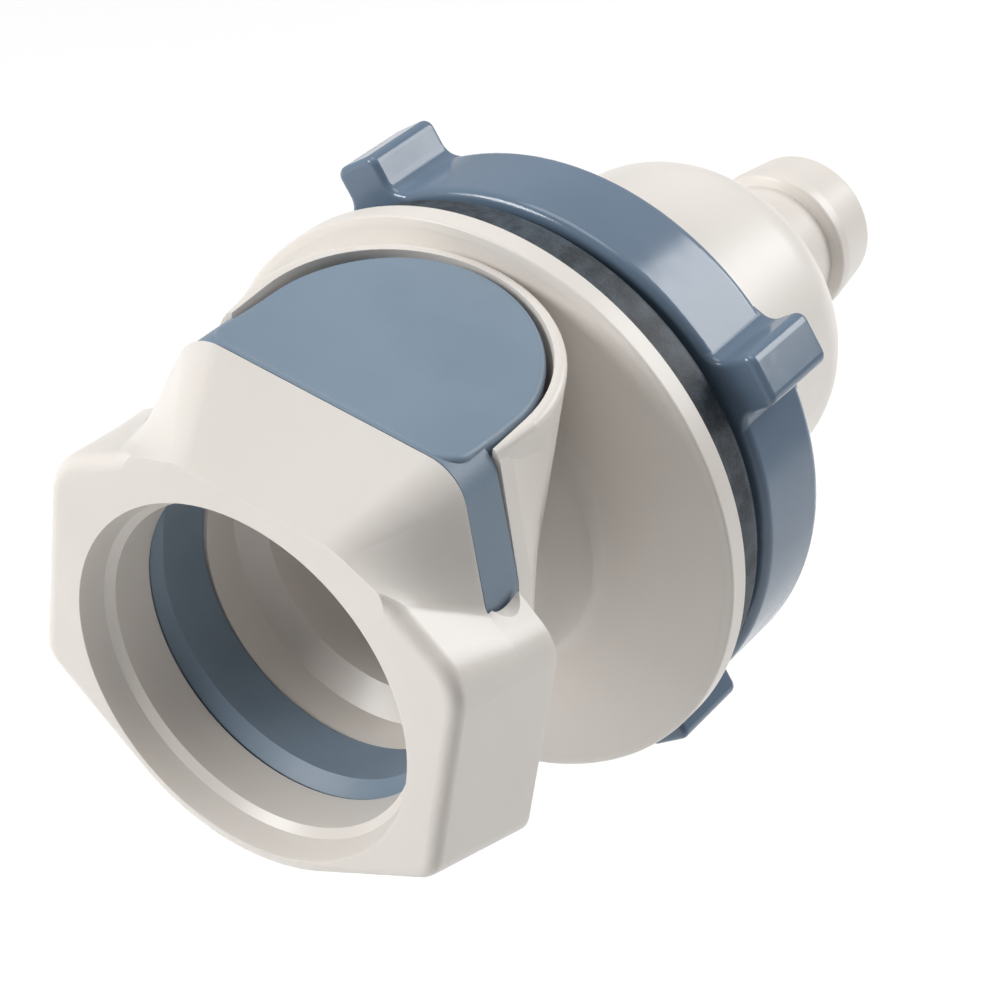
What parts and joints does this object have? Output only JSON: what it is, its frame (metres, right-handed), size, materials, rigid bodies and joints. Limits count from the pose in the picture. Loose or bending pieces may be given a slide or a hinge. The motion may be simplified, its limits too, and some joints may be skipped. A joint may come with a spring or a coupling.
{
  "type": "quick disconnect coupling body",
  "caption": "Panel-mount half of a plastic quick disconnect coupling: valved mouth with a thumb latch, flange with rubber gasket, winged panel nut and hose barb.",
  "frame": {"origin": "on the flow axis, in the back face of the flange", "axes": "+Y along the flow axis towards the hose barb, +Z towards the thumb latch"},
  "size_m": [0.04, 0.0684, 0.04],
  "materials": {
    "body_plastic": "satin, moulded",
    "latch_plastic": "satin, moulded",
    "nut_plastic": "semi-gloss, moulded",
    "valve_plastic": "satin, moulded",
    "gasket_rubber": "matt, lightly grained",
    "seal_rubber": "matt",
    "spring_steel": "drawn wire"
  },
  "bodies": {
    "body": {"front_body": "body_plastic", "rear_stem": "body_plastic", "valve_guide": "valve_plastic", "stem_o_ring": "seal_rubber", "panel_gasket": "gasket_rubber", "latch_spring": "spring_steel", "valve_spring": "spring_steel"},
    "latch": {"thumb_latch": "latch_plastic"},
    "valve": {"valve_poppet": "valve_plastic", "poppet_o_ring": "seal_rubber"},
    "nut": {"panel_nut": "nut_plastic"}
  },
  "joints": [
    {"name": "latch_press", "type": "slide", "parent": "body", "child": "latch", "axis": [0, 0, -1], "range_m": [0, 0.0012], "stiffness_N_per_m": 2500, "deforming": ["latch_spring"]},
    {"name": "valve_open", "type": "slide", "parent": "body", "child": "valve", "axis": [0, 1, 0], "range_m": [0, 0.0035], "stiffness_N_per_m": 1500, "deforming": ["valve_spring"]},
    {"name": "nut_turn", "type": "hinge", "parent": "body", "child": "nut", "pos_m": [0, 0, 0], "axis": [0, 1, 0], "continuous": true}
  ]
}
